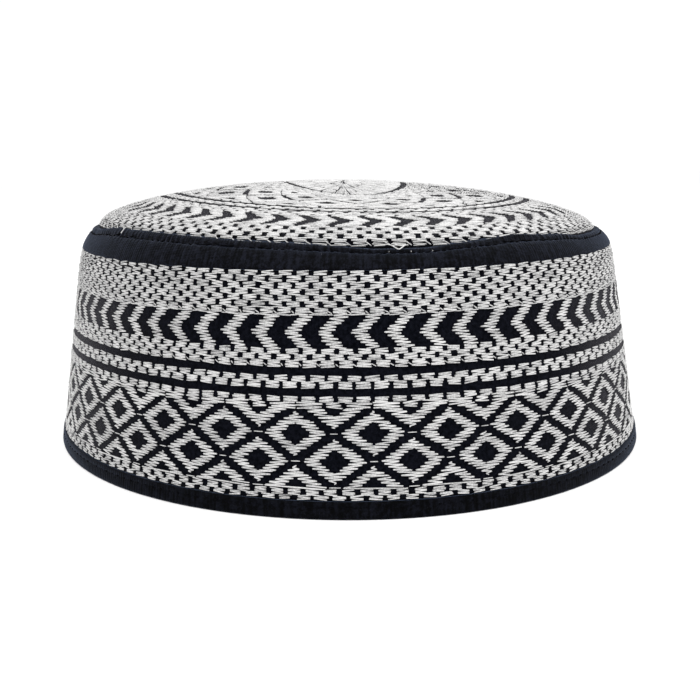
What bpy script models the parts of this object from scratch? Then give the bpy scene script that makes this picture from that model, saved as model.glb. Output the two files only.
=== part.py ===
"""Kufi cap: a stiff oval cap with an embroidered side band, a low domed crown, black piping round the
top corner and a black binding folded round the hem.

Metres, +Z up. X is the cap's width and Y its length. The origin is the middle of the hem's oval, on the
surface that the hem rests on.
"""
import math

import bmesh
import bpy

MM = 0.001

# Outline, taken over the stitches
HALF_WIDTH = 89.7 * MM            # the hem's oval, along X
LENGTH_RATIO = 1.1                # every oval's length over its width
WALL_LEAN = 1.50                  # share of the width lost for each metre of height
WALL_BULGE = 2.4                  # and for each square metre, which bows the wall a little
BEND_Z = 51.6 * MM                # above this the wall turns inwards
PIPING_Z = 57.6 * MM              # the piping's lower edge
SEAM_Z = 62.9 * MM                # the crown's first stitches
SEAM_SHARE = 0.844                # share of the hem's width there
WALL_PULL = 7.8 * MM              # how long the corner keeps the wall's direction
CROWN_PULL = 5.5 * MM             # how long it has the crown's direction
CROWN_SLOPE = math.radians(32.7)  # the crown's fall at its seam
DOME_RISE = 13.7 * MM             # the crown's middle above its seam
DOME_POWER = 0.639                # under 1 gives a flat top with full shoulders
FRONT_SINK = 3.7 * MM             # how far the crown's front half (towards -Y) has sunk
SINK_MIDDLE = 0.6                 # under 1 moves the sunk place towards the crown's middle
SINK_NARROW = 1.5                 # over 1 draws it in to the front

# The soft top sits a little askew on the hem; all of this fades out down the corner
SHIFT_X = 0.8 * MM
SHIFT_Y = 1.6 * MM
TILT_X = -0.025                   # rise for each metre towards +X
TILT_Y = -0.016
SADDLE = 1.1 * MM                 # two opposite sides of the seam ride up, the ends sink
SADDLE_TURN = math.radians(-13.7)
SKEW_POWER = 3

# Cloth and tape
CLOTH = 1.8 * MM                  # the quilted double cloth of band and crown
THREAD = 0.45 * MM                # how far the stitches stand above the cloth
TAPE = 1.0 * MM                   # piping and binding
GAP = 0.3 * MM                    # kept between neighbouring pieces

# Hem binding
BINDING_RISE = 4.3 * MM           # height of both its legs
BINDING_PROUD = 0.4 * MM          # how far it stands outside the stitches
BINDING_WEB = 0.6 * MM            # under the band's edge
BINDING_ROUND = 0.35 * MM         # the rounding of its folds

# Piping, by heights on the outline
BUTT_Z = 60.6 * MM                # where band and crown meet under it
GROOVE_Z = 61.2 * MM              # its topstitched groove
GROOVE_HALF = 0.3 * MM
GROOVE_DEPTH = 0.4 * MM
TAPE_END_Z = 62.4 * MM            # its upper edge, against the crown
TAPE_SOFT = 0.3 * MM              # rounding of its edges

SEGMENTS = 64                     # round the oval
WALL_LEVELS = 5
DOME_RINGS = 10
DOME_FIRST_SHARE = 0.975          # the crown's first free ring, by share of its seam
TURN = 2.0 * math.pi / SEGMENTS


def straight_half_width(z):
    """The outline's half width where the wall is nearly straight."""
    return HALF_WIDTH * (1.0 - WALL_LEAN * z - WALL_BULGE * z * z)


def corner(t):
    """The outline's corner as (half width, z): a cubic curve from the bend, 0, to the seam, 1."""
    lean = -HALF_WIDTH * (WALL_LEAN + 2.0 * WALL_BULGE * BEND_Z)
    start = (straight_half_width(BEND_Z), BEND_Z)
    end = (HALF_WIDTH * SEAM_SHARE, SEAM_Z)
    pull = (start[0] + WALL_PULL * lean, start[1] + WALL_PULL)
    push = (end[0] + CROWN_PULL * math.cos(CROWN_SLOPE), end[1] - CROWN_PULL * math.sin(CROWN_SLOPE))
    weights = ((1 - t) ** 3, 3 * t * (1 - t) ** 2, 3 * t * t * (1 - t), t ** 3)
    points = (start, pull, push, end)
    return tuple(sum(w * point[k] for w, point in zip(weights, points)) for k in (0, 1))


def half_width(z):
    """The outline's half width at a height, from the hem to the crown's seam."""
    if z <= BEND_Z:
        return straight_half_width(z)
    low, high = 0.0, 1.0
    for _ in range(40):
        middle = 0.5 * (low + high)
        if corner(middle)[1] < z:
            low = middle
        else:
            high = middle
    return corner(low)[0]


def outward(z):
    """The outline's outward direction in a section, as (across, up)."""
    step = 0.05 * MM
    above = min(z + step, SEAM_Z)
    below = above - 2.0 * step
    across = half_width(above) - half_width(below)
    length = math.hypot(across, above - below)
    return ((above - below) / length, -across / length)


def skewed(x, y, angle, fade):
    """A point's shift and lift where the top sits askew, with fade 1 from the seam upwards."""
    lift = TILT_X * x + TILT_Y * y + SADDLE * math.cos(2.0 * (angle - SADDLE_TURN))
    return (fade * SHIFT_X, fade * SHIFT_Y, fade * lift)


def section_ring(z, depth):
    """Oval of points a depth under the outline at height z, square to it."""
    across, up = outward(z)
    width = half_width(z)
    fade = max(0.0, (z - BEND_Z) / (SEAM_Z - BEND_Z)) ** SKEW_POWER
    ring = []
    for i in range(SEGMENTS):
        angle = TURN * i
        x, y = width * math.cos(angle), width * LENGTH_RATIO * math.sin(angle)
        shift_x, shift_y, lift = skewed(x, y, angle, fade)
        ring.append((
            x - depth * across * math.cos(angle) + shift_x,
            y - depth * across * math.sin(angle) + shift_y,
            z - depth * up + lift,
        ))
    return ring


def dome_point(share, angle):
    """Point of the crown's outline at a share of its seam's oval."""
    x = HALF_WIDTH * SEAM_SHARE * share * math.cos(angle)
    y = HALF_WIDTH * SEAM_SHARE * share * LENGTH_RATIO * math.sin(angle)
    z = SEAM_Z + DOME_RISE * max(0.0, 1.0 - share * share) ** DOME_POWER
    z -= FRONT_SINK * math.sin(math.pi * share ** SINK_MIDDLE) * max(0.0, -math.sin(angle)) ** SINK_NARROW
    lift = TILT_X * x + TILT_Y * y + SADDLE * share * share * math.cos(2.0 * (angle - SADDLE_TURN))
    return (x + SHIFT_X, y + SHIFT_Y, z + lift)


def dome_ring(share, depth):
    """Oval of points a depth under the crown's outline, square to it."""
    step = 0.002
    ring = []
    for i in range(SEGMENTS):
        angle = TURN * i
        point = dome_point(share, angle)
        inner, outer = dome_point(share - step, angle), dome_point(share + step, angle)
        run = math.hypot(outer[0] - inner[0], outer[1] - inner[1])
        fall = inner[2] - outer[2]
        length = math.hypot(run, fall)
        away = depth * fall / length
        ring.append((
            point[0] - away * math.cos(angle),
            point[1] - away * math.sin(angle),
            point[2] - depth * run / length,
        ))
    return ring


def spread(start, end, count):
    """Evenly spaced values from start to end."""
    return [start + (end - start) * i / (count - 1) for i in range(count)]


def make_material(name, colour, roughness):
    """A plain cloth material."""
    material = bpy.data.materials.new(name)
    material.use_nodes = True
    shader = material.node_tree.nodes["Principled BSDF"]
    shader.inputs["Base Color"].default_value = (*colour, 1.0)
    shader.inputs["Roughness"].default_value = roughness
    shader.inputs["Metallic"].default_value = 0.0
    material.diffuse_color = (*colour, 1.0)
    return material


def add_object(name, mesh_data, material):
    """Link a finished bmesh as one smooth-shaded object with its faces outwards."""
    bmesh.ops.recalc_face_normals(mesh_data, faces=mesh_data.faces)
    mesh = bpy.data.meshes.new(name)
    mesh_data.to_mesh(mesh)
    mesh_data.free()
    mesh.materials.append(material)
    mesh.shade_smooth()
    mesh.set_sharp_from_angle(angle=math.radians(50))
    bpy.context.scene.collection.objects.link(bpy.data.objects.new(name, mesh))


def bridge_all(mesh_data, rings):
    """Quads between each ring of vertices and the next."""
    for lower, upper in zip(rings, rings[1:]):
        for i in range(SEGMENTS):
            j = (i + 1) % SEGMENTS
            mesh_data.faces.new((lower[i], lower[j], upper[j], upper[i]))


def close_top(mesh_data, ring, depth):
    """Triangles from a ring to the crown's middle."""
    x, y, z = dome_point(0.0, 0.0)
    middle = mesh_data.verts.new((x, y, z - depth))
    for i in range(SEGMENTS):
        mesh_data.faces.new((ring[i], ring[(i + 1) % SEGMENTS], middle))


def closed_hoop(name, point_rings, material):
    """A closed body through rings of points that run once round its section."""
    mesh_data = bmesh.new()
    rings = [[mesh_data.verts.new(point) for point in ring] for ring in point_rings]
    bridge_all(mesh_data, rings + [rings[0]])
    add_object(name, mesh_data, material)


def make_side_band(material):
    """The upright wall, pinched in under the binding at the hem and under the piping at the top."""
    hem_pinch = TAPE + GAP - BINDING_PROUD
    top_pinch = TAPE + GAP
    foot = BINDING_WEB + GAP
    body = spread(BINDING_RISE + GAP, BEND_Z, WALL_LEVELS)
    shoulder = spread(BEND_Z, PIPING_Z - GAP, 3)[1:]
    under_piping = spread(PIPING_Z, BUTT_Z - 0.5 * GAP, 3)

    rings = [section_ring(z, hem_pinch) for z in (foot, BINDING_RISE)]
    rings += [section_ring(z, THREAD) for z in body + shoulder]
    rings += [section_ring(z, top_pinch) for z in under_piping]
    rings += [section_ring(z, top_pinch + CLOTH) for z in reversed(under_piping)]
    rings += [section_ring(z, THREAD + CLOTH) for z in reversed(body + shoulder)]
    rings += [section_ring(foot, THREAD + CLOTH)]
    closed_hoop("side_band", rings, material)


def make_hem_binding(material):
    """Tape folded round the hem: a flat foot with rounded folds and a leg up each face of the band."""
    outside = half_width(0.0) + BINDING_PROUD
    lean = (half_width(BINDING_RISE) - half_width(0.0)) / BINDING_RISE
    band_inside = BINDING_PROUD + THREAD + CLOTH + GAP
    inside = band_inside + TAPE
    fold = BINDING_ROUND
    section = (
        (1.4 * fold, 0.0),
        (0.4 * fold, 0.5 * fold),
        (0.0, 1.8 * fold),
        (0.0, BINDING_RISE - fold),
        (0.4 * fold, BINDING_RISE),
        (TAPE - 0.3 * fold, BINDING_RISE),
        (TAPE, BINDING_RISE - fold),
        (TAPE, BINDING_WEB),
        (band_inside, BINDING_WEB),
        (band_inside, BINDING_RISE),
        (inside - 0.4 * fold, BINDING_RISE),
        (inside, BINDING_RISE - fold),
        (inside, 1.8 * fold),
        (inside - 0.4 * fold, 0.5 * fold),
        (inside - 1.4 * fold, 0.0),
    )
    rings = []
    for inwards, z in section:
        across = outside - inwards + lean * z
        along = across + (LENGTH_RATIO - 1.0) * half_width(z)
        rings.append([
            (across * math.cos(TURN * i), along * math.sin(TURN * i), z)
            for i in range(SEGMENTS)
        ])
    closed_hoop("hem_binding", rings, material)


def make_crown_piping(material):
    """Tape laid over the corner: a wide rounded face, a stitched groove and a narrow upper ridge."""
    face = spread(PIPING_Z + TAPE_SOFT, GROOVE_Z - GROOVE_HALF, 4)
    ridge = spread(GROOVE_Z + GROOVE_HALF, TAPE_END_Z - 0.5 * TAPE_SOFT, 2)
    backing = spread(TAPE_END_Z, PIPING_Z, 5)

    rings = [section_ring(PIPING_Z, TAPE_SOFT)]
    rings += [section_ring(z, 0.0) for z in face]
    rings += [section_ring(GROOVE_Z, GROOVE_DEPTH)]
    rings += [section_ring(z, 0.0) for z in ridge]
    rings += [section_ring(TAPE_END_Z, TAPE_SOFT)]
    rings += [section_ring(z, TAPE) for z in backing]
    closed_hoop("crown_piping", rings, material)


def make_crown(material):
    """The domed top: its edge runs down under the piping to the seam with the band."""
    pinch = TAPE + GAP
    tucked = spread(BUTT_Z + 0.5 * GAP, TAPE_END_Z, 3)
    shares = [
        DOME_FIRST_SHARE * math.cos(0.5 * math.pi * i / DOME_RINGS) ** 0.9
        for i in range(DOME_RINGS)
    ]
    outer_rings = [section_ring(z, pinch) for z in tucked]
    outer_rings += [dome_ring(share, THREAD) for share in shares]
    inner_rings = [section_ring(z, pinch + CLOTH) for z in tucked]
    inner_rings += [dome_ring(share, THREAD + CLOTH) for share in shares[1:]]

    mesh_data = bmesh.new()
    outer = [[mesh_data.verts.new(point) for point in ring] for ring in outer_rings]
    inner = [[mesh_data.verts.new(point) for point in ring] for ring in inner_rings]
    bridge_all(mesh_data, outer)
    bridge_all(mesh_data, inner)
    bridge_all(mesh_data, [inner[0], outer[0]])
    close_top(mesh_data, outer[-1], THREAD)
    close_top(mesh_data, inner[-1], THREAD + CLOTH)
    add_object("crown", mesh_data, material)


def main():
    for old in list(bpy.data.objects):
        bpy.data.objects.remove(old, do_unlink=True)
    embroidered = make_material("embroidered_cotton", (0.34, 0.34, 0.36), 0.85)
    tape = make_material("black_tape", (0.012, 0.014, 0.022), 0.7)
    make_side_band(embroidered)
    make_crown(embroidered)
    make_crown_piping(tape)
    make_hem_binding(tape)


main()
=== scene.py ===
"""Kufi cap, its looks: white satin stitches in rows of bricks, chevrons and diamonds over black cotton,
black ribbed piping round the top corner and a black ribbed binding round the hem.

Metres, +Z up, in the cap's own frame: X is its width, Y its length and -Y its front. Stitches are charted
on a flat chart, by the share of a turn and by the distance across the rows, and laid on the cap from there.
"""
import math

import bmesh
import bpy
import numpy as np
from mathutils import Matrix, Vector


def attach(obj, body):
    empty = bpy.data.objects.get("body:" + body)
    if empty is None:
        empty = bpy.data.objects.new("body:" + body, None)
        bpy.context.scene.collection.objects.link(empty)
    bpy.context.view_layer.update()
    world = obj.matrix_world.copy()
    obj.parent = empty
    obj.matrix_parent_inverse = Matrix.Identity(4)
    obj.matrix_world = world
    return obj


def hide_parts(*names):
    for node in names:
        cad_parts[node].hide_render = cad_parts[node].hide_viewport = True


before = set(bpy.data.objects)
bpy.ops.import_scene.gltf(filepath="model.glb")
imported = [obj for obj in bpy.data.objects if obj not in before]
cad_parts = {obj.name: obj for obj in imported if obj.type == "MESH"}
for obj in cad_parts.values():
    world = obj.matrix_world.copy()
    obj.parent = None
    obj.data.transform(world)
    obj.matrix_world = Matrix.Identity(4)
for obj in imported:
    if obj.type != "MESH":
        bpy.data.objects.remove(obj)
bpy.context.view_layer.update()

MM = 0.001

# The cap's outline, as its solids have it
HALF_WIDTH = 89.7 * MM            # at the hem
LENGTH_RATIO = 1.1
WALL_LEAN = 1.50                  # share of the width lost for each metre of height
WALL_BULGE = 2.4                  # and for each square metre, which bows the wall a little
BEND_Z = 51.6 * MM                # above this the wall turns inwards
SEAM_Z = 62.9 * MM                # where the wall meets the crown
SEAM_SHARE = 0.844                # the seam's oval as a share of the hem's
WALL_PULL = 7.8 * MM              # how long the corner keeps the wall's direction
CROWN_PULL = 5.5 * MM             # and the crown's
CROWN_SLOPE = math.radians(32.7)
DOME_RISE = 13.7 * MM
DOME_POWER = 0.639                # 0.5 would be an ellipse
FRONT_SINK = 3.7 * MM             # how far the crown has sunk at its front
SINK_MIDDLE = 0.6                 # under 1 moves the sunk place inwards
SINK_NARROW = 1.5
SHIFT_X = 0.8 * MM                # how far the soft top sits askew
SHIFT_Y = 1.6 * MM
TILT_X = -0.025
TILT_Y = -0.016
SADDLE = 1.1 * MM
SADDLE_TURN = math.radians(-13.7)
SKEW_POWER = 3
CLOTH = 1.8 * MM
THREAD = 0.45 * MM                # how far the cloth lies under the outline, which the stitches' tops keep
TAPE = 1.0 * MM
GAP = 0.3 * MM
BINDING_RISE = 4.3 * MM
BINDING_PROUD = 0.4 * MM
HEM_STITCH_Z = 2.9 * MM
GROOVE_Z = 61.2 * MM
RIDGE_END_Z = 61.95 * MM
PIPING_SWELL = 0.35 * MM          # how much higher the piping lies where it covers stitches

# The piping's uneven upper edge: its angle in degrees and how far it reaches up the crown, in millimetres
PIPING_WAVE = (
    (-172, 0.0), (-160, 1.6), (-144, 2.0), (-136, 1.9), (-126, 1.55), (-114, 1.4), (-106, 0.7),
    (-100, 0.0), (-90, 0.1), (-84.6, 1.1), (-79, 1.75), (-73, 2.6), (-70, 2.9), (-66.6, 2.5),
    (-62.7, 2.0), (-57, 1.5), (-50, 0.0),
)

# Stitching
HEART = math.radians(-102.5)      # where the charts start, at the cap's front
GIRTH = 592.1 * MM                # round the hem
ROW = 0.365 * MM                  # from one thread to the next
STITCH_WIDTH = 0.38 * MM
STITCH_RISE = 0.50 * MM
BRICK_STRAY = 0.13 * MM           # how far the ends of the stitches stray
SHAPE_STRAY = 0.22 * MM
ROW_SLIP = 0.065 * MM
LIFT_SPREAD = 0.045 * MM
ZIGZAG = 0.9                      # 1 where neighbouring threads share a hole, 0 where they lie side by side
BRICK_ZIGZAG = 0.5
BRICK_SIZE = 1.02                 # thickness of the threads in the side's bricks
CROWN_BRICK_SIZE = 1.12           # and in the crown's
TIP_POWER = 0.85                  # under 1 draws a chevron's tip out to a point
DIAMOND_POWER = 1.08              # over 1 bows a diamond's sides out a little
TIP_HALF = 0.004                  # half the width of a diamond's tip, in repeats
NARROWEST = 0.012                 # a smaller half of a hole, in repeats, is sewn shut
UNEVEN = 0.10                     # how much the stitches' widths differ
THREAD_TOP = 0.75                 # where a thread's UV map has its upper side
SEED = 7

rng = np.random.default_rng(SEED)


# The outline as surfaces

def corner_table():
    """Half widths and heights down the corner's cubic curve, from the bend to the seam."""
    lean = -HALF_WIDTH * (WALL_LEAN + 2.0 * WALL_BULGE * BEND_Z)
    start = np.array((HALF_WIDTH * (1 - WALL_LEAN * BEND_Z - WALL_BULGE * BEND_Z ** 2), BEND_Z))
    end = np.array((HALF_WIDTH * SEAM_SHARE, SEAM_Z))
    pull = start + WALL_PULL * np.array((lean, 1.0))
    push = end + CROWN_PULL * np.array((math.cos(CROWN_SLOPE), -math.sin(CROWN_SLOPE)))
    t = np.linspace(0.0, 1.0, 401)[:, None]
    curve = (1 - t) ** 3 * start + 3 * t * (1 - t) ** 2 * pull + 3 * t * t * (1 - t) * push + t ** 3 * end
    return curve[:, 0], curve[:, 1]


CORNER_WIDTHS, CORNER_HEIGHTS = corner_table()


def half_width(z):
    straight = HALF_WIDTH * (1.0 - WALL_LEAN * z - WALL_BULGE * z * z)
    return np.where(z <= BEND_Z, straight, np.interp(z, CORNER_HEIGHTS, CORNER_WIDTHS))


def wall_point(angle, z, out):
    """Points of the side by angle and height, set out from the outline square to it."""
    angle, z, out = np.broadcast_arrays(angle, z, out)
    step = 0.05 * MM
    above = np.minimum(z + step, SEAM_Z)
    slope = half_width(above) - half_width(above - 2 * step)
    length = np.hypot(slope, 2 * step)
    across, up = 2 * step / length, -slope / length
    width = half_width(z)
    x = width * np.cos(angle)
    y = width * LENGTH_RATIO * np.sin(angle)
    fade = np.maximum(0.0, (z - BEND_Z) / (SEAM_Z - BEND_Z)) ** SKEW_POWER
    lift = TILT_X * x + TILT_Y * y + SADDLE * np.cos(2.0 * (angle - SADDLE_TURN))
    return np.stack((
        x + out * across * np.cos(angle) + fade * SHIFT_X,
        y + out * across * np.sin(angle) + fade * SHIFT_Y,
        z + out * up + fade * lift,
    ), -1)


def dome_point(angle, share):
    """Points of the crown's outline at a share of its seam's oval."""
    angle, share = np.broadcast_arrays(angle, share)
    x = HALF_WIDTH * SEAM_SHARE * share * np.cos(angle)
    y = HALF_WIDTH * SEAM_SHARE * share * LENGTH_RATIO * np.sin(angle)
    z = SEAM_Z + DOME_RISE * np.maximum(0.0, 1.0 - share * share) ** DOME_POWER
    sunk = np.sin(np.pi * share ** SINK_MIDDLE) * np.maximum(0.0, -np.sin(angle)) ** SINK_NARROW
    lift = TILT_X * x + TILT_Y * y + SADDLE * share * share * np.cos(2.0 * (angle - SADDLE_TURN))
    return np.stack((x + SHIFT_X, y + SHIFT_Y, z - FRONT_SINK * sunk + lift), -1)


def crown_point(angle, share, out):
    """Points of the crown by angle and share, set out from the outline square to it."""
    angle, share, out = np.broadcast_arrays(angle, share, out)
    step = 0.002
    middle = np.clip(share, step, 0.995)
    fall = dome_point(angle, middle + step) - dome_point(angle, middle - step)
    turn = dome_point(angle + step, middle) - dome_point(angle - step, middle)
    square = np.cross(fall, turn)
    square /= np.linalg.norm(square, axis=-1, keepdims=True)
    return dome_point(angle, share) + out[..., None] * square


# Charts: a share of a turn and a distance across the rows, laid on the cap

def even_turn(across, along):
    """Turns shares of the way round an oval, starting at the heart, into its angles."""
    angle = np.linspace(HEART, HEART + 2 * math.pi, 3601)
    step = np.hypot(np.diff(across * np.cos(angle)), np.diff(along * np.sin(angle)))
    way = np.concatenate(([0.0], np.cumsum(step)))
    return lambda share: np.interp(share % 1.0, way / way[-1], angle)


def seam_distance():
    """Shares of the crown's seam against the distance from it, up the surface."""
    share = np.linspace(1.0, 0.0, 4001)
    reach = HALF_WIDTH * SEAM_SHARE * 0.5 * (1.0 + LENGTH_RATIO) * share
    height = DOME_RISE * np.maximum(0.0, 1.0 - share * share) ** DOME_POWER
    way = np.concatenate(([0.0], np.cumsum(np.hypot(np.diff(reach), np.diff(height)))))
    return way, share


SEAM_WAY, SEAM_SHARES = seam_distance()
even_angle = even_turn(HALF_WIDTH, HALF_WIDTH * LENGTH_RATIO)


def on_side(turn, z, out):
    return wall_point(even_angle(turn), z, out)


def past_seam(angle, distance, out):
    """Points by the distance from the crown's seam up the crown; under 0 they lie down the corner."""
    above = crown_point(angle, np.interp(distance, SEAM_WAY, SEAM_SHARES), out)
    below = wall_point(angle, SEAM_Z + np.minimum(distance, 0.0) * math.sin(CROWN_SLOPE), out)
    return np.where((distance < 0.0)[..., None], below, above)


def on_crown(turn, distance, out):
    return past_seam(even_angle(turn), distance, out)


def piping_reach(angle):
    """How far the piping's upper edge reaches past its even place, up the crown."""
    degrees, reach = np.transpose(PIPING_WAVE)
    return np.interp(np.degrees(angle), degrees, reach * MM, period=360.0)


def on_piping(angle, z, out):
    """Points of the piping by height; its upper edge and, less so, its groove follow the wave."""
    reach = np.interp(z, (59.5 * MM, GROOVE_Z, 61.8 * MM), (0.0, 0.65, 1.0)) * piping_reach(angle)
    swell = PIPING_SWELL * np.minimum(1.0, reach / MM)
    return past_seam(angle, (z - SEAM_Z) / math.sin(CROWN_SLOPE) + reach, out + swell)


class Chart:
    """Straight stitches of one piece of the embroidery: both ends, a shade and a thickness for each."""

    def __init__(self, place):
        self.place = place
        self.ends = []
        self.shades = []
        self.sizes = []

    def add(self, start, end, tone, size=1.0):
        """Stitches from start to end, arrays of (share of a turn, row)."""
        self.ends.append(np.stack((start, end), 1))
        self.shades.append(tone)
        self.sizes.append(np.full(len(tone), size))

    def bars(self, start, end, repeats, phase, size=1.0, loose=0.03):
        """One single thread in each repeat, from start to end as (repeats, row)."""
        turn = np.arange(repeats) + phase
        off = rng.normal(0.0, loose, (4, repeats))
        self.add(
            np.stack(((turn + start[0] + off[0]) / repeats, start[1] + off[1] * MM), -1),
            np.stack(((turn + end[0] + off[2]) / repeats, end[1] + off[3] * MM), -1),
            rng.normal(0.2, 0.7, repeats),
            size,
        )

    def satin(self, spans, low, high, repeats, phase=0.0, zigzag=ZIGZAG, stray=SHAPE_STRAY, size=1.0):
        """Zigzag threads from low to high, repeated round the cap.

        spans(row) lists the (left, right) edges of the white at a row, in repeats. Neighbouring threads
        close up by turns at the left and at the right, so the edges are drawn out into points.
        """
        count = max(1, round((high - low) / ROW))
        step = (high - low) / count
        slip = stray * repeats / GIRTH
        k = np.arange(repeats)
        brick_shade = rng.normal(0.0, 0.4, repeats)
        brick_slip = rng.normal(0.0, 0.6 * BRICK_STRAY * repeats / GIRTH, repeats)
        holes = rng.normal(0.0, 1.0, (count + 1, 4, 2, repeats))
        turned_over = rng.integers(0, 2, repeats)
        for i in range(count):
            lower, upper = spans(low + step * i), spans(low + step * (i + 1))
            if len(lower) != len(upper):
                lower = upper = spans(low + step * (i + 0.5))
            for number, (first, last) in enumerate(zip(lower, upper)):
                side = (i + number + turned_over) % 2
                ends = []
                for j, edge in ((0, np.array(first)[side]), (1, np.array(last)[1 - side])):
                    off = holes[i + j, number]
                    turn = (k + phase + edge + brick_slip + slip * off[0]) / repeats
                    row = low + step * (i + 0.5 + zigzag * (j - 0.5)) + ROW_SLIP * off[1]
                    ends.append(np.stack((turn, row), -1))
                self.add(*ends, brick_shade + rng.normal(0.0, 1.0, repeats), size)

    def keep(self, wanted):
        """Leaves out the stitches for whose middle (turns, rows) wanted is false."""
        ends = np.concatenate(self.ends)
        kept = wanted(*ends.mean(1).T)
        self.ends = [ends[kept]]
        self.shades = [np.concatenate(self.shades)[kept]]
        self.sizes = [np.concatenate(self.sizes)[kept]]

    def plan(self, name):
        """A cloud of points, one for each stitch, that carries its direction, square, shade and size."""
        ends = np.concatenate(self.ends)
        lift = -THREAD + 0.5 * STITCH_RISE + rng.normal(0.0, LIFT_SPREAD, len(ends))
        start = self.place(ends[:, 0, 0], ends[:, 0, 1], lift)
        end = self.place(ends[:, 1, 0], ends[:, 1, 1], lift)
        turn, row = ends[:, :, 0].mean(1), ends[:, :, 1].mean(1)
        under = self.place(turn, row, -1.0 * MM)
        over = self.place(turn, row, 1.0 * MM)
        middle = self.place(turn, row, lift)
        mesh = bpy.data.meshes.new(name)
        mesh.vertices.add(len(ends))
        mesh.vertices.foreach_set("co", middle.astype(np.float32).ravel())
        for label, value in (("along", end - start), ("square", over - under)):
            mesh.attributes.new(label, "FLOAT_VECTOR", "POINT").data.foreach_set(
                "vector", value.astype(np.float32).ravel())
        for label, value in (("shade", self.shades), ("size", self.sizes)):
            mesh.attributes.new(label, "FLOAT", "POINT").data.foreach_set(
                "value", np.concatenate(value).astype(np.float32))
        return mesh


# Spans of white: each gives the edges of the white at a row, in repeats round the cap

def brick(gap):
    """One brick with half a gap at each end."""
    return lambda row: [(0.5 * gap - 0.5, 0.5 - 0.5 * gap)]


def chevron(middle, reach, left_lean, right_lean, white):
    """An arrow whose tip is at the middle row and whose arms lean back."""
    def spans(row):
        away = abs(row - middle) / reach
        return [(left_lean * away ** TIP_POWER, white + right_lean * away)]
    return spans


def diamond(middle, half, rise, inner_half, inner_rise):
    """A white diamond round a black one."""
    def spans(row):
        away = abs(row - middle)
        outer = max(TIP_HALF, half * (1.0 - min(1.0, away / rise) ** DIAMOND_POWER))
        inner = inner_half * (1.0 - away / inner_rise)
        if inner <= NARROWEST:
            return [(-outer, outer)]
        return [(-outer, -inner), (inner, outer)]
    return spans


def add_object(name, data):
    """A new object at the origin of the scene."""
    item = bpy.data.objects.new(name, data)
    bpy.context.scene.collection.objects.link(item)
    return item


def make_stitch():
    """One satin stitch of unit length along X: a four-sided thread whose ends dip into the cloth.

    Each ring of its profile has a place along it, a thickness and a dip.
    """
    form = bmesh.new()
    profile = ((-0.47, 0.86, -0.04), (0.0, 1.0, 0.0), (0.47, 0.86, -0.04))
    sides = 4
    rings = []
    for x, size, dip in profile:
        turns = [math.pi / 2 + 2 * math.pi * i / sides for i in range(sides)]
        rings.append([
            form.verts.new((x, 0.5 * size * math.cos(turn), 0.5 * size * math.sin(turn) + dip))
            for turn in turns
        ])
    tail, head = (form.verts.new((x, 0.0, -0.45)) for x in (-0.5, 0.5))
    for lower, upper in zip(rings, rings[1:]):
        for i in range(sides):
            j = (i + 1) % sides
            form.faces.new((lower[i], lower[j], upper[j], upper[i]))
    for i in range(sides):
        j = (i + 1) % sides
        form.faces.new((tail, rings[0][j], rings[0][i]))
        form.faces.new((head, rings[-1][i], rings[-1][j]))
    bmesh.ops.recalc_face_normals(form, faces=form.faces)
    layer = form.loops.layers.uv.new("thread")
    for face in form.faces:
        for loop in face.loops:
            x, y, z = loop.vert.co
            loop[layer].uv = (x + 0.5, math.atan2(z + 0.05, y) / (2 * math.pi) + 0.5)
    mesh = bpy.data.meshes.new("stitch")
    form.to_mesh(mesh)
    form.free()
    mesh.shade_smooth()
    return bpy.data.objects.new("stitch", mesh)


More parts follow.
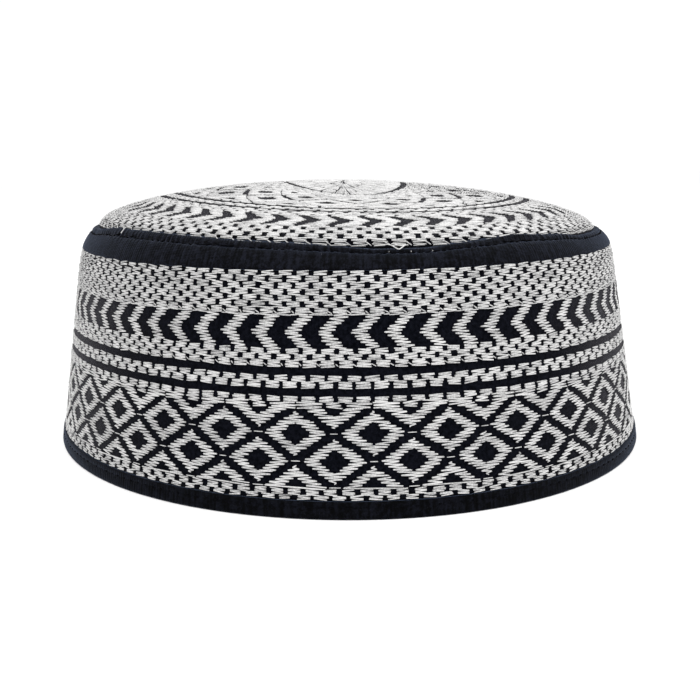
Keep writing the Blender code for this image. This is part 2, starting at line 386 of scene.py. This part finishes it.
def build_stitch_tree():
    """Geometry Nodes that lay one stitch on each point of a plan, along its direction."""
    tree = bpy.data.node_groups.new("satin stitches", "GeometryNodeTree")
    inputs = (("Geometry", "Geometry"), ("Stitch", "Object"), ("Width", "Float"), ("Rise", "Float"),
              ("Uneven", "Float"), ("Seed", "Int"), ("Thread", "Material"))
    for label, kind in inputs:
        tree.interface.new_socket(label, in_out="INPUT", socket_type="NodeSocket" + kind)
    tree.interface.new_socket("Geometry", in_out="OUTPUT", socket_type="NodeSocketGeometry")
    nodes, links = tree.nodes, tree.links
    given = nodes.new("NodeGroupInput")
    result = nodes.new("NodeGroupOutput")

    def attribute(name, kind):
        node = nodes.new("GeometryNodeInputNamedAttribute")
        node.data_type = kind
        node.inputs["Name"].default_value = name
        return node.outputs["Attribute"]

    def maths(operation, first, second):
        node = nodes.new("ShaderNodeMath")
        node.operation = operation
        for socket, value in zip(node.inputs, (first, second)):
            if isinstance(value, float):
                socket.default_value = value
            else:
                links.new(value, socket)
        return node.outputs[0]

    along = attribute("along", "FLOAT_VECTOR")
    square = attribute("square", "FLOAT_VECTOR")
    turn = nodes.new("FunctionNodeAlignRotationToVector")
    turn.axis = "X"
    links.new(along, turn.inputs["Vector"])
    roll = nodes.new("FunctionNodeAlignRotationToVector")
    roll.axis = "Z"
    roll.pivot_axis = "X"
    links.new(turn.outputs["Rotation"], roll.inputs["Rotation"])
    links.new(square, roll.inputs["Vector"])
    length = nodes.new("ShaderNodeVectorMath")
    length.operation = "LENGTH"
    links.new(along, length.inputs[0])

    uneven = nodes.new("FunctionNodeRandomValue")
    uneven.data_type = "FLOAT"
    links.new(maths("SUBTRACT", 1.0, given.outputs["Uneven"]), uneven.inputs[2])
    links.new(maths("ADD", 1.0, given.outputs["Uneven"]), uneven.inputs[3])
    links.new(given.outputs["Seed"], uneven.inputs["Seed"])
    width = maths("MULTIPLY", given.outputs["Width"], uneven.outputs[1])
    size = nodes.new("ShaderNodeCombineXYZ")
    links.new(length.outputs["Value"], size.inputs["X"])
    links.new(maths("MULTIPLY", width, attribute("size", "FLOAT")), size.inputs["Y"])
    links.new(given.outputs["Rise"], size.inputs["Z"])

    info = nodes.new("GeometryNodeObjectInfo")
    links.new(given.outputs["Stitch"], info.inputs["Object"])
    points = nodes.new("GeometryNodeInstanceOnPoints")
    links.new(given.outputs["Geometry"], points.inputs["Points"])
    links.new(info.outputs["Geometry"], points.inputs["Instance"])
    links.new(roll.outputs["Rotation"], points.inputs["Rotation"])
    links.new(size.outputs["Vector"], points.inputs["Scale"])
    last = points.outputs["Instances"]
    for name in ("along", "square", "size"):
        drop = nodes.new("GeometryNodeRemoveAttribute")
        drop.inputs["Name"].default_value = name
        links.new(last, drop.inputs["Geometry"])
        last = drop.outputs["Geometry"]
    real = nodes.new("GeometryNodeRealizeInstances")
    links.new(last, real.inputs["Geometry"])
    finish = nodes.new("GeometryNodeSetMaterial")
    links.new(real.outputs["Geometry"], finish.inputs["Geometry"])
    links.new(given.outputs["Thread"], finish.inputs["Material"])
    links.new(finish.outputs["Geometry"], result.inputs["Geometry"])
    return tree


def sew(chart, name, tree, stitch, thread, width=STITCH_WIDTH, rise=STITCH_RISE):
    """One plain mesh of all the stitches in a chart."""
    plan = add_object(name + "_plan", chart.plan(name + "_plan"))
    modifier = plan.modifiers.new("satin", "NODES")
    modifier.node_group = tree
    stitch.data.materials.clear()
    stitch.data.materials.append(thread)
    sockets = {item.name: item.identifier for item in tree.interface.items_tree if item.in_out == "INPUT"}
    modifier[sockets["Stitch"]] = stitch
    modifier[sockets["Width"]] = width
    modifier[sockets["Rise"]] = rise
    modifier[sockets["Uneven"]] = UNEVEN
    modifier[sockets["Seed"]] = SEED
    modifier[sockets["Thread"]] = thread
    graph = bpy.context.evaluated_depsgraph_get()
    mesh = bpy.data.meshes.new_from_object(plan.evaluated_get(graph), depsgraph=graph)
    mesh.name = name
    plan.modifiers.clear()
    bpy.data.objects.remove(plan, do_unlink=True)
    return add_object(name, mesh)


class Value:
    """A number on its way through a shader; each operator adds one Math node."""

    def __init__(self, shader, socket):
        self.shader = shader
        self.socket = socket

    def maths(self, operation, *others, clamp=False):
        values = dict(enumerate((self, *others)))
        return self.shader.node("ShaderNodeMath", dict(operation=operation, use_clamp=clamp), values)

    def __add__(self, other):
        return self.maths("ADD", other)

    def __mul__(self, other):
        return self.maths("MULTIPLY", other)

    def __sub__(self, other):
        return self.maths("SUBTRACT", other)

    def __rsub__(self, other):
        return self * -1.0 + other

    def sine(self):
        return self.maths("SINE")

    def clamped(self):
        return self.maths("ADD", 0.0, clamp=True)


class Shader:
    """One material, and short ways to add nodes to it."""

    def __init__(self, name, roughness, **constants):
        self.material = bpy.data.materials.new(name)
        self.material.use_nodes = True
        self.tree = self.material.node_tree
        self.main = self.tree.nodes["Principled BSDF"]
        self.main.inputs["Roughness"].default_value = roughness
        for label, value in constants.items():
            self.main.inputs[label.replace("_", " ")].default_value = value

    def put(self, socket, value):
        if isinstance(value, Value):
            self.tree.links.new(value.socket, socket)
        else:
            socket.default_value = value

    def node(self, kind, settings=None, values=None, output=0):
        node = self.tree.nodes.new(kind)
        for label, value in (settings or {}).items():
            setattr(node, label, value)
        for label, value in (values or {}).items():
            self.put(node.inputs[label], value)
        return Value(self, node.outputs[output])

    def uv(self, name):
        """The two numbers of a UV map."""
        place = self.node("ShaderNodeUVMap", dict(uv_map=name))
        return [self.node("ShaderNodeSeparateXYZ", values={0: place}, output=i) for i in (0, 1)]

    def noise(self, scale, detail=2.0):
        """Noise in the cap's own space, with scale in spots per millimetre."""
        place = self.node("ShaderNodeTexCoord", output=3)
        values = {"Vector": place, "Scale": scale / MM, "Detail": detail}
        return self.node("ShaderNodeTexNoise", values=values)

    def streaks(self, across, up, scale, stretch):
        """Noise on the cloth's own map, drawn out up the cloth, with scale in streaks per millimetre."""
        place = self.node("ShaderNodeCombineXYZ", values={0: across, 1: up * (1.0 / stretch)})
        return self.node("ShaderNodeTexNoise", values={"Vector": place, "Scale": scale, "Detail": 1.0})

    def colour(self, tone, dark, light):
        """Base colour from dark, where the tone is 0 or less, to light, where it is 1 or more."""
        values = {0: tone.clamped(), 6: (*dark, 1.0), 7: (*light, 1.0)}
        mixed = self.node("ShaderNodeMix", dict(data_type="RGBA"), values, 2)
        self.put(self.main.inputs["Base Color"], mixed)

    def bump(self, height, depth, strength):
        values = {"Height": height, "Distance": depth, "Strength": strength}
        self.put(self.main.inputs["Normal"], self.node("ShaderNodeBump", values=values))


TWIST = 62.0                      # of a thread's plies along one stitch, in radians
COTTON_WEAVE = 13.5               # in radians a millimetre, both ways
TAPE_WEAVE = 21.0                 # the fine threads that lie across the tape's ribs
TAPE_WAVER = 6.6


def thread_material(name, dark, light, **constants):
    """Thread of two twisted plies, with a shade of its own on every stitch, and painted shade that darkens
    each stitch towards its sides.
    """
    shader = Shader(name, 0.65, **constants)
    shade = shader.node("ShaderNodeAttribute", dict(attribute_name="shade"), output=2)
    fleck = shader.noise(2.8, 3.0) - 0.5
    along, around = shader.uv("thread")
    # painted shade: the base colour darkens towards the thread's two sides, where neighbouring threads
    # shade one another
    side = (around - THREAD_TOP).maths("ABSOLUTE") * 4.0
    tone = (shade * 0.16 + 0.86 + fleck * 2.0) * (1.0 - side * side * 0.8)
    shader.colour(tone, dark, light)
    shader.bump((along * TWIST + around * (4.0 * math.pi)).sine() + fleck * 1.6, 0.02 * MM, 0.6)
    return shader.material


def cotton_material():
    """The black ground of band and crown: a plain weave, with a little lint on it."""
    shader = Shader("black_cotton_weave", 0.9, Specular_IOR_Level=0.02, Sheen_Weight=0.24,
                    Sheen_Roughness=0.25, Sheen_Tint=(0.95, 0.92, 1.0, 1.0))
    across, up = shader.uv("cloth")
    weave = (across * COTTON_WEAVE).sine() * (up * COTTON_WEAVE).sine()
    lint = shader.noise(1.1, 4.0) - 0.5
    speck = shader.noise(3.0) - 0.5
    tone = lint * 2.0 + speck * 1.5 + 0.4 + weave * 0.12
    shader.colour(tone, (0.0005, 0.0007, 0.0015), (0.0056, 0.0062, 0.0100))
    shader.bump(weave + lint * 1.2, 0.05 * MM, 0.8)
    return shader.material


def tape_material(name, dark, light):
    """Black ribbed tape: the ribs differ in shade, and fine threads and lint lie across them."""
    shader = Shader(name, 0.6, Specular_IOR_Level=0.03, Sheen_Weight=0.19, Sheen_Roughness=0.3,
                    Sheen_Tint=(0.52, 0.66, 1.0, 1.0))
    across, up = shader.uv("cloth")
    threads = (up * TAPE_WEAVE + (across * TAPE_WAVER).sine() * 0.8).sine()
    ribs = shader.streaks(across, up, 1.1, 9.0) - 0.5
    lint = shader.noise(0.8, 4.0) - 0.5
    speck = shader.noise(3.0) - 0.5
    tone = ribs * 2.6 + lint * 2.8 + speck * 3.0 + 0.34 + threads * 0.05
    shader.colour(tone, dark, light)
    shader.bump(threads * 0.6 + lint * 1.5 + speck, 0.05 * MM, 0.8)
    return shader.material


def skin(name, rings, material, first=None, last=None):
    """A mesh over rings of points: a hoop, or closed over two middle points where these are given."""
    count, around = rings.shape[:2]
    points = [tuple(point) for point in rings.reshape(-1, 3)]
    mids = rings.mean(1)
    reach = np.linalg.norm(rings - mids[:, None], axis=-1).mean(1)
    step = np.hypot(np.diff(reach, append=reach[0]), np.diff(mids[:, 2], append=mids[0, 2]))
    way = np.concatenate(([0.0], np.cumsum(step))) / MM
    side = np.arange(around + 1) / around * GIRTH / MM
    faces, uvs = [], []
    for i in range(count if first is None else count - 1):
        low, high = i * around, (i + 1) % count * around
        for j in range(around):
            k = (j + 1) % around
            faces.append((low + j, low + k, high + k, high + j))
            uvs += [(side[j], way[i]), (side[j + 1], way[i])]
            uvs += [(side[j + 1], way[i + 1]), (side[j], way[i + 1])]
    for ring, middle, turn in ((0, first, -1), (count - 1, last, 1)):
        if middle is None:
            continue
        points.append(tuple(middle))
        for j in range(around):
            edge = (ring * around + j, ring * around + (j + 1) % around)
            faces.append((len(points) - 1, *edge[::turn]))
            corners = ((side[j], way[ring]), (side[j + 1], way[ring]))
            uvs += [(side[j], way[ring] + turn * reach[ring] / MM), *corners[::turn]]
    mesh = bpy.data.meshes.new(name)
    mesh.from_pydata(points, [], faces)
    mesh.uv_layers.new(name="cloth").data.foreach_set("uv", np.array(uvs, np.float32).ravel())
    mesh.materials.append(material)
    mesh.shade_smooth()
    volume = bmesh.new()
    volume.from_mesh(mesh)
    if volume.calc_volume(signed=True) < 0.0:
        bmesh.ops.reverse_faces(volume, faces=volume.faces)
    volume.to_mesh(mesh)
    volume.free()
    return add_object(name, mesh)


# Cloth and tape

CLOTH_STEPS = 240
PINCH = TAPE + GAP                # how far the cloth lies under the outline where a tape covers it
RIB_RISE = 0.055 * MM
PIPING_RIBS = 590
BINDING_RIBS = 620
STEPS_A_RIB = 3
TOPSTITCHES = 250
PUCKER_ZS = (60.6, 61.2, 61.9, 62.1)
PUCKER_RISES = (0.0, 0.34, 0.08, 0.0)


def turned(count):
    return np.linspace(0.0, 2.0 * math.pi, count, endpoint=False)


def make_band_cloth(material):
    """The upright wall, pinched in under the binding and under the piping."""
    hem_pinch = PINCH - BINDING_PROUD
    body = [4.75, *np.linspace(5.6, 51.0, 22), 53.0, 54.6, 56.0, 57.4]
    tucked = [57.75, 59.0, 60.45]
    levels = [(0.9, hem_pinch), (4.3, hem_pinch)]
    levels += [(z, THREAD) for z in body]
    levels += [(z, PINCH) for z in tucked]
    levels += [(z, PINCH + CLOTH) for z in reversed(tucked)]
    levels += [(z, THREAD + CLOTH) for z in reversed(body)]
    levels += [(0.9, THREAD + CLOTH)]
    angle = turned(CLOTH_STEPS)
    rings = [wall_point(angle, z * MM, -depth) for z, depth in levels]
    return skin("band_cloth", np.stack(rings), material)


def make_crown_cloth(material):
    """The domed top, with its edge tucked under the piping."""
    angle = turned(CLOTH_STEPS)
    tucked = (60.75, 61.6, 62.4)
    shares = 0.978 * np.cos(0.5 * math.pi * np.arange(34) / 34) ** 0.9

    def layer(depth, edge_depth, chosen):
        edge = [wall_point(angle, z * MM, -edge_depth) for z in tucked]
        return edge + [crown_point(angle, share, -depth) for share in chosen]

    outer = layer(THREAD, PINCH, shares)
    inner = layer(THREAD + CLOTH, PINCH + CLOTH, shares[2:])
    middle = dome_point(0.0, 0.0)
    top, under = middle - (0.0, 0.0, THREAD), middle - (0.0, 0.0, THREAD + CLOTH)
    return skin("crown_cloth", np.stack(outer[::-1] + inner), material, top, under)


def make_piping_tape(material):
    """The tape over the corner: a wide face, a stitched groove, a narrow ridge and a plain back.

    Each ring of its outer side has a height, a depth inside the outline and a share of the ribs.
    """
    face = [(57.86, 0.60, 0.0), (57.82, 0.32, 0.5), (57.86, 0.12, 1.0), (58.05, 0.02, 1.0)]
    face += [(z, 0.0, 1.0) for z in (58.5, 59.2, 59.9, 60.5)]
    groove = [(60.85, 0.02, 1.0), (61.0, 0.14, 0.8), (61.12, 0.36, 0.3), (61.22, 0.42, 0.0),
              (61.32, 0.36, 0.3), (61.44, 0.14, 0.8)]
    ridge = [(61.56, 0.02, 1.0), (61.75, 0.0, 1.0), (61.9, 0.06, 1.0), (62.0, 0.25, 0.5),
             (62.06, 0.60, 0.0), (62.42, 0.75, 0.0)]
    angle = turned(PIPING_RIBS * STEPS_A_RIB)
    rib = RIB_RISE * np.cos(PIPING_RIBS * angle)
    stray = 3.0 * np.sin(7.0 * angle) + 2.0 * np.sin(31.0 * angle)
    pucker = 0.5 - 0.5 * np.cos(TOPSTITCHES * angle + stray)
    pucker *= 0.55 + 0.3 * np.sin(43.0 * angle) + 0.15 * np.sin(97.0 * angle + 1.0)
    rings = []
    for z, depth, share in face + groove + ridge:
        fold = np.interp(z, PUCKER_ZS, PUCKER_RISES) * pucker
        rings.append(on_piping(angle, z * MM, (fold - depth) * MM + share * rib))
    rings += [wall_point(angle, z * MM, -TAPE) for z in (62.4, 61.2, 60.0, 58.8, 57.86)]
    return skin("piping_tape", np.stack(rings), material)


def binding_point(angle, z, inwards):
    """Points of the hem binding by height and by how far they lie inside its outer face."""
    lean = (half_width(BINDING_RISE) - half_width(0.0)) / BINDING_RISE
    across = half_width(0.0) + BINDING_PROUD - inwards + lean * z
    along = across + (LENGTH_RATIO - 1.0) * half_width(z)
    return np.stack(np.broadcast_arrays(across * np.cos(angle), along * np.sin(angle), z), -1)


def make_binding_tape(material):
    """The tape folded round the hem: a foot and a leg up each face, stitched through near the top.

    Each ring has a height, how far it lies inside the outer face and a share of the ribs.
    """
    inner = (THREAD + CLOTH + GAP + BINDING_PROUD) / MM
    back = inner + TAPE / MM
    levels = [(0.0, 0.49, 0.0), (0.16, 0.14, 0.5), (0.63, 0.0, 1.0), (1.6, 0.0, 1.0), (2.5, 0.0, 1.0),
              (2.8, 0.12, 0.5), (3.0, 0.12, 0.5), (3.3, 0.0, 1.0), (3.95, 0.0, 1.0), (4.18, 0.05, 0.8),
              (4.3, 0.16, 0.4), (4.3, 0.5, 0.0), (4.26, 0.9, 0.0), (3.95, 1.0, 0.0), (0.6, 1.0, 0.0),
              (0.6, inner, 0.0), (4.26, inner, 0.0), (4.3, inner + 0.5, 0.0), (4.26, back - 0.14, 0.3),
              (3.95, back, -0.7), (0.63, back, -0.7), (0.16, back - 0.14, 0.0), (0.0, back - 0.49, 0.0)]
    angle = turned(BINDING_RIBS * STEPS_A_RIB)
    rib = RIB_RISE * np.cos(BINDING_RIBS * angle)
    rings = [binding_point(angle, z * MM, inwards * MM - share * rib) for z, inwards, share in levels]
    return skin("binding_tape", np.stack(rings), material)


# The charts: rows in millimetres above the hem's resting plane, or from the crown's seam

DIAMONDS = 31                     # round the side
UPPER_DIAMONDS = 0.139            # phases of the two rows, in repeats
LOWER_DIAMONDS = -0.361


def brick_rows(chart, marks, repeats, phases, gap, size=BRICK_SIZE):
    """Rows of bricks between neighbouring marks, each with its own phase."""
    for low, high, phase in zip(marks, marks[1:], phases):
        chart.satin(brick(gap), low * MM, high * MM, repeats, phase, BRICK_ZIGZAG, BRICK_STRAY, size)


def wedge(apex, spread, hole_apex, hole_base, hole_half):
    """A white triangle round a smaller black one; both widen the same way."""
    def spans(row):
        outer = spread * abs(row - apex)
        depth = (row - hole_apex) / (hole_base - hole_apex)
        inner = hole_half * depth if 0.0 < depth <= 1.0 else 0.0
        if inner < NARROWEST:
            return [(-outer, outer)]
        return [(-outer, -inner), (inner, outer)]
    return spans


def upper_side():
    """Seven rows of bricks under the piping."""
    chart = Chart(on_side)
    bricks = 123
    marks = (47.6, 49.45, 50.9, 52.3, 53.75, 55.2, 56.75, 57.75)
    odd, even = -0.061, 0.46
    brick_rows(chart, marks, bricks, (odd, even, odd, even, odd, even, odd), 0.245)
    chart.bars((0.37, 48.65 * MM), (0.60, 48.0 * MM), bricks, odd, 0.8)
    chart.bars((0.33, 47.75 * MM), (0.66, 47.75 * MM), bricks, odd, 0.8)
    return chart


def middle_side():
    """A row of chevrons that point left."""
    chart = Chart(on_side)
    chart.satin(chevron(43.6 * MM, 3.8 * MM, 0.49, 0.43, 0.51), 39.95 * MM, 47.6 * MM, 68, -0.31)
    return chart


def lower_side():
    """Three rows of bricks, then rows between and under the two black stripes."""
    chart = Chart(on_side)
    bricks = 128
    brick_rows(chart, (35.5, 37.2, 38.58, 39.9), bricks, (0.208, -0.284, 0.208), 0.24)
    chart.bars((0.40, 36.4 * MM), (0.58, 35.8 * MM), bricks, 0.208, 0.7)
    brick_rows(chart, (30.6, 32.25, 33.6), bricks, (0.10, -0.392), 0.24)
    brick_rows(chart, (27.45, 28.75), 130, (0.094,), 0.24)
    pitch = GIRTH / MM / DIAMONDS

    def eared(row):
        return [(-0.497, -2.88 / pitch), (-1.78 / pitch, 1.78 / pitch), (2.88 / pitch, 0.497)]

    chart.satin(eared, 26.0 * MM, 27.4 * MM, DIAMONDS, LOWER_DIAMONDS)
    return chart


def diamond_side():
    """Two staggered rows of diamonds with black hearts, and half ones above and below."""
    chart = Chart(on_side)
    pitch = GIRTH / DIAMONDS
    for middle, phase in ((20.1, UPPER_DIAMONDS), (13.6, LOWER_DIAMONDS)):
        shape = diamond(middle * MM, 7.95 * MM / pitch, 5.2 * MM, 3.85 * MM / pitch, 2.75 * MM)
        chart.satin(shape, (middle - 5.25) * MM, (middle + 5.25) * MM, DIAMONDS, phase)
    top = wedge(21.25 * MM, 1.575 / pitch, 24.0 * MM, 25.9 * MM, 2.6 * MM / pitch)
    chart.satin(top, 21.3 * MM, 26.0 * MM, DIAMONDS, LOWER_DIAMONDS)
    bottom = wedge(12.5 * MM, 1.5 / pitch, 10.1 * MM, 7.4 * MM, 3.3 * MM / pitch)
    chart.satin(bottom, 7.2 * MM, 12.45 * MM, DIAMONDS, UPPER_DIAMONDS)
    bars = ((20.1, 1.1, LOWER_DIAMONDS), (13.6, 1.1, UPPER_DIAMONDS), (7.5, 1.35, LOWER_DIAMONDS))
    for row, half, phase in bars:
        reach = half * MM / pitch
        chart.bars((-reach, row * MM), (reach, row * MM), DIAMONDS, phase, 0.7, 0.005)
    return chart


def hem_side():
    """Two rows of bricks over the binding."""
    chart = Chart(on_side)
    brick_rows(chart, (4.5, 5.65, 7.15), 136, (-0.351, 0.167), 0.29)
    return chart


def crown_edge():
    """Rows of bricks from the seam to the crown's chevrons; the first threads lie open."""
    chart = Chart(on_crown)
    bricks = 102
    for start, end, size in ((-0.6, -0.4, 0.65), (0.1, -0.15, 0.65), (0.5, 0.6, 0.7)):
        chart.bars((-0.36, start * MM), (0.36, end * MM), bricks, 0.04, size, 0.06)
    rows = ((0.85, 1.65, 0.04, 0.23), (1.65, 3.7, 0.60, 0.31), (3.7, 5.4, 0.07, 0.27),
            (5.4, 7.4, 0.60, 0.27), (7.4, 8.3, 0.13, 0.24))
    for low, high, phase, gap in rows:
        brick_rows(chart, (low, high), bricks, (phase,), gap)
    chart.bars((-0.24, 0.85 * MM), (0.13, -0.5 * MM), bricks, 0.54, 0.8)
    edge = (RIDGE_END_Z - SEAM_Z) / math.sin(CROWN_SLOPE) + 0.15 * MM
    chart.keep(lambda turn, row: row > edge + piping_reach(even_angle(turn)))
    return chart


def crown_chevrons():
    """Chevrons that point right."""
    chart = Chart(on_crown)
    chart.satin(chevron(12.6 * MM, 4.5 * MM, -0.68, -0.42, 0.44), 8.1 * MM, 17.2 * MM, 54)
    return chart


def crown_rows():
    """Rows of bricks beside the crown's two black rings, and the plain white rows near its middle."""
    chart = Chart(on_crown)
    groups = (
        ((17.3, 18.6, 19.95, 21.2), 92, (0.0, 0.5, 0.0), 0.23),
        ((23.15, 24.4, 25.7), 88, (0.25, 0.75), 0.20),
        ((27.7, 28.85), 84, (0.3,), 0.20),
        ((53.3, 54.8, 56.3, 57.8, 59.3, 60.85), 40, (0.0, 0.5, 0.1, 0.6, 0.2), 0.14),
    )
    for marks, repeats, phases, gap in groups:
        brick_rows(chart, marks, repeats, phases, gap, CROWN_BRICK_SIZE)
    return chart


def crown_diamonds():
    """A ring of two staggered rows of diamonds, and half ones outside and inside it."""
    chart = Chart(on_crown)
    repeats = 16
    outer, inner = -0.38, 0.12
    for middle, phase in ((36.4, outer), (45.2, inner)):
        shape = diamond(middle * MM, 0.44, 7.2 * MM, 0.20, 3.3 * MM)
        chart.satin(shape, (middle - 7.3) * MM, (middle + 7.3) * MM, repeats, phase)
    rim = wedge(37.0 * MM, 0.059 / MM, 32.6 * MM, 29.3 * MM, 0.14)
    chart.satin(rim, 28.95 * MM, 36.9 * MM, repeats, inner)
    heart = wedge(44.7 * MM, 0.059 / MM, 49.2 * MM, 52.6 * MM, 0.15)
    chart.satin(heart, 44.8 * MM, 53.0 * MM, repeats, outer)
    return chart


def crown_rosette():
    """Radial threads in petals, in three rings that narrow towards the crown's middle."""
    chart = Chart(on_crown)
    petals = 26
    phase = -0.227
    rings = ((62.8, 69.4, 9, 0.40, 0.1), (69.2, 75.4, 6, 0.36, 0.9), (75.2, 80.9, 3, 0.27, 0.9))
    for start, end, count, half, stray in rings:
        for offset in np.linspace(-half, half, count):
            turn = (np.arange(petals) + phase + offset + rng.normal(0.0, 0.01, petals)) / petals
            strays = (rng.normal(0.0, stray, petals), rng.normal(0.0, 0.9, petals))
            ends = [np.stack((turn, (row + off) * MM), -1) for row, off in zip((start, end), strays)]
            chart.add(ends[0], ends[1], rng.normal(0.0, 0.8, petals), 1.2)
    return chart


def on_binding(turn, row, out):
    return binding_point(even_angle(turn), row, -out)


def piping_topstitches():
    """Black stitches in the piping's groove."""
    chart = Chart(lambda turn, row, out: on_piping(even_angle(turn), row, out))
    chart.bars((-0.34, GROOVE_Z), (0.34, GROOVE_Z), TOPSTITCHES, 0.2, 1.0, 0.09)
    return chart


def hem_topstitches():
    """Short black stitches sunk in the hem binding."""
    chart = Chart(on_binding)
    chart.bars((-0.16, HEM_STITCH_Z), (0.16, HEM_STITCH_Z), 204, 0.3)
    return chart


def lint():
    """White flecks caught on the piping, each as (share of a turn, height in millimetres, length)."""
    chart = Chart(on_side)
    flecks = np.array((
        (-0.0172, 60.9, 0.25), (-0.002, 61.25, 0.25), (0.009, 61.5, 0.35), (0.014, 61.45, 0.45),
        (0.0245, 61.45, 0.25), (0.0302, 61.55, 0.35), (0.035, 61.5, 0.3), (0.0573, 61.7, 0.35),
    ))
    reach = 0.35 * flecks[:, 2] * MM / GIRTH
    for way in (-1, 1):
        row = flecks[:, 1] * MM
        chart.add(
            np.stack((flecks[:, 0] - reach, row - way * 0.1 * MM), -1),
            np.stack((flecks[:, 0] + reach, row + way * 0.1 * MM), -1),
            np.full(len(flecks), 0.4),
            0.55,
        )
    return chart


# Loose thread ends, as (share of a turn, height, distance out), in millimetres past the first
LOOSE_THREADS = (
    ((0.0130, 62.9, -0.2), (0.0155, 62.4, 0.3), (0.0172, 61.95, 0.3), (0.0187, 61.65, 0.3),
     (0.0197, 61.8, 0.3), (0.0217, 62.25, 0.4), (0.0224, 62.6, -0.2)),
    ((0.0160, 62.9, -0.1), (0.0175, 62.55, 0.3), (0.0200, 62.3, 0.3), (0.0217, 62.3, 0.3),
     (0.0227, 62.7, -0.2)),
    ((-0.1495, 63.3, -0.2), (-0.1490, 62.9, 0.4), (-0.1480, 62.4, 0.5), (-0.1476, 62.1, 0.5)),
)


def make_loose_threads(name, material):
    """Tubes along smooth curves through the loose threads' points, joined as one mesh."""
    curve = bpy.data.curves.new(name, "CURVE")
    curve.dimensions = "3D"
    curve.bevel_depth = 0.13 * MM
    curve.bevel_resolution = 1
    curve.use_fill_caps = True
    curve.resolution_u = 6
    for route in LOOSE_THREADS:
        spots = on_side(*(np.array(route).T * ((1.0,), (MM,), (MM,))))
        spline = curve.splines.new("BEZIER")
        spline.bezier_points.add(len(spots) - 1)
        for point, spot in zip(spline.bezier_points, spots):
            point.co = spot
            point.handle_left_type = point.handle_right_type = "AUTO"
    thread = add_object(name, curve)
    graph = bpy.context.evaluated_depsgraph_get()
    mesh = bpy.data.meshes.new_from_object(thread.evaluated_get(graph), depsgraph=graph)
    bpy.data.objects.remove(thread, do_unlink=True)
    mesh.name = name
    mesh.materials.clear()
    mesh.materials.append(material)
    layer = mesh.uv_layers.new(name="thread")
    layer.data.foreach_set("uv", np.tile((0.5, THREAD_TOP), len(mesh.loops)))
    mesh.shade_smooth()
    return add_object(name, mesh)


def make_floor():
    mesh = bpy.data.meshes.new("floor")
    size = 3.0
    corners = [(-size, -size, 0), (size, -size, 0), (size, size, 0), (-size, size, 0)]
    mesh.from_pydata(corners, [], [(0, 1, 2, 3)])
    shader = Shader("pale_floor", 0.9, Specular_IOR_Level=0.1)
    shader.main.inputs["Base Color"].default_value = (0.96, 0.96, 0.96, 1.0)
    mesh.materials.append(shader.material)
    return add_object("floor", mesh)


def make_camera():
    """The camera of the reference picture."""
    data = bpy.data.cameras.new("camera")
    data.lens = 52.263
    data.sensor_width = 36.0
    data.shift_x = 0.00773
    data.clip_start = 0.01
    camera = add_object("camera", data)
    forward = Vector((0.2328, 0.9537, -0.1902)).normalized()
    up = Vector((0.0608, 0.1809, 0.9816))
    right = forward.cross(up).normalized()
    turn = Matrix((right, right.cross(forward), -forward)).transposed()
    camera.matrix_world = Matrix.Translation((-0.0772, -0.3162, 0.0849)) @ turn.to_4x4()
    bpy.context.scene.camera = camera


def make_light(name, spot, size, power):
    """A square soft box that faces the cap."""
    data = bpy.data.lights.new(name, "AREA")
    data.shape = "SQUARE"
    data.size = size
    data.energy = power
    light = add_object(name, data)
    light.location = spot
    light.rotation_euler = (Vector((0.0, 0.0, 0.04)) - Vector(spot)).to_track_quat("-Z", "Y").to_euler()


def make_studio():
    world = bpy.data.worlds.new("studio")
    world.use_nodes = True
    sky = world.node_tree.nodes["Background"]
    sky.inputs["Color"].default_value = (1.0, 1.0, 1.0, 1.0)
    sky.inputs["Strength"].default_value = 1.05
    bpy.context.scene.world = world
    bpy.context.scene.view_settings.view_transform = "Standard"
    make_light("key", (-0.35, -0.70, 0.80), 0.7, 5.2)
    make_light("fill", (0.8, -0.45, 0.4), 0.6, 3.0)
    make_light("top", (0.0, 0.15, 1.0), 0.8, 2.2)


white = thread_material("white_cotton_thread", (0.11, 0.11, 0.115), (0.66, 0.656, 0.652),
                        Specular_IOR_Level=0.25, Sheen_Weight=0.06)
black = thread_material("black_cotton_thread", (0.0004, 0.0004, 0.0008), (0.0022, 0.0023, 0.0034),
                        Specular_IOR_Level=0.02)
cotton = cotton_material()
tape = tape_material("black_piping_tape", (0.0002, 0.0002, 0.0006), (0.0062, 0.0070, 0.0115))
# painted shade: the hem's tape is the piping's tape with darker colours, for the lesser light that falls
# low on the cap
shaded_hem_tape = tape_material("black_hem_tape_painted_darker", (0.0001, 0.0001, 0.0003), (0.0036, 0.0041, 0.0070))

band = make_band_cloth(cotton)
crown = make_crown_cloth(cotton)
piping = make_piping_tape(tape)
binding = make_binding_tape(shaded_hem_tape)

tree = build_stitch_tree()
stitch = make_stitch()
charts = {
    "upper_brick_stitches": upper_side(),
    "chevron_stitches": middle_side(),
    "lower_brick_stitches": lower_side(),
    "diamond_stitches": diamond_side(),
    "hem_brick_stitches": hem_side(),
    "crown_edge_stitches": crown_edge(),
    "crown_chevron_stitches": crown_chevrons(),
    "crown_row_stitches": crown_rows(),
    "crown_diamond_stitches": crown_diamonds(),
    "crown_rosette_stitches": crown_rosette(),
}
sewn = [sew(chart, name, tree, stitch, white) for name, chart in charts.items()]
sewn.append(sew(lint(), "lint", tree, stitch, white))
sewn.append(make_loose_threads("loose_threads", white))
topstitches = [
    sew(piping_topstitches(), "piping_topstitches", tree, stitch, black, 0.45 * MM, 0.5 * MM),
    sew(hem_topstitches(), "hem_topstitches", tree, stitch, black, 0.8 * MM, 0.6 * MM),
]
bpy.data.objects.remove(stitch, do_unlink=True)

for piece in (band, crown, *sewn, piping, binding, *topstitches):
    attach(piece, "root")
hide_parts("side_band")
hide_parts("crown")
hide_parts("crown_piping")
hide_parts("hem_binding")

make_floor()
make_camera()
make_studio()
